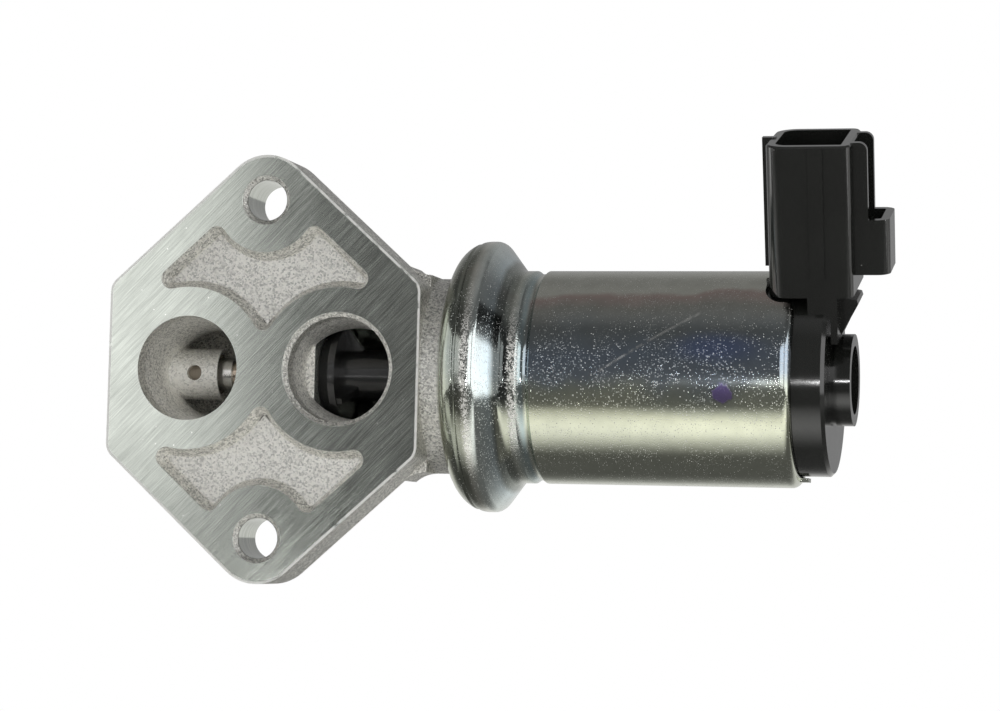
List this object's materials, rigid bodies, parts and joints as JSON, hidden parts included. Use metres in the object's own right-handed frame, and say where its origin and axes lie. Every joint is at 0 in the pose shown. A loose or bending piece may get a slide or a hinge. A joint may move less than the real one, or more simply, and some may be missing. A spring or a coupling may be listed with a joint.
{
  "type": "idle air control valve",
  "caption": "Idle air control valve: cast flanged body with ports side by side, sliding valve, crimped solenoid case and moulded end cap with a leaning plug connector.",
  "frame": {"origin": "on the mounting face, midway between the centres of the two bolt holes", "axes": "-Y out of the mounting face, +X along the shaft towards the end cap, +Z along the line of the bolt holes, up to the connector"},
  "size_m": [0.134, 0.047, 0.079],
  "materials": {
    "cast_alloy": "sand-cast surface with machined faces",
    "bronze": "sintered",
    "shaft_steel": "ground",
    "valve_plastic": "moulded",
    "spring_steel": "drawn",
    "rubber": "matte",
    "plated_iron": "zinc plated",
    "passivated_case": "yellow and blue passivated zinc plating",
    "brass": "drawn",
    "bobbin_plastic": "glass-filled",
    "copper_wire": "enamelled",
    "cap_plastic": "moulded, glossy",
    "tin_plate": "tin plated"
  },
  "bodies": {
    "valve_housing": {"valve_body": "cast_alloy", "guide_bushing": "bronze", "lip_seal": "rubber", "front_plate": "plated_iron", "shaft_bushing": "bronze", "disc_seal": "rubber", "solenoid_case": "passivated_case", "armature_sleeve": "brass", "bobbin": "bobbin_plastic", "coil_winding": "copper_wire", "stop_washer": "brass", "return_spring": "spring_steel", "pole_core": "plated_iron", "adjusting_screw": "brass", "rear_plate": "plated_iron", "cap_seal": "rubber", "end_cap": "cap_plastic", "closing_plug": "cap_plastic", "contact_front": "tin_plate", "contact_back": "tin_plate"},
    "valve_slide": {"shaft": "shaft_steel", "valve_plunger": "valve_plastic", "retaining_clip": "spring_steel", "armature": "plated_iron"}
  },
  "joints": [
    {"name": "valve_travel", "type": "slide", "parent": "valve_housing", "child": "valve_slide", "axis": [1, 0, 0], "range_m": [0, 0.003], "stiffness_N_per_m": 600, "springref_m": -0.004, "deforming": ["return_spring"]}
  ]
}
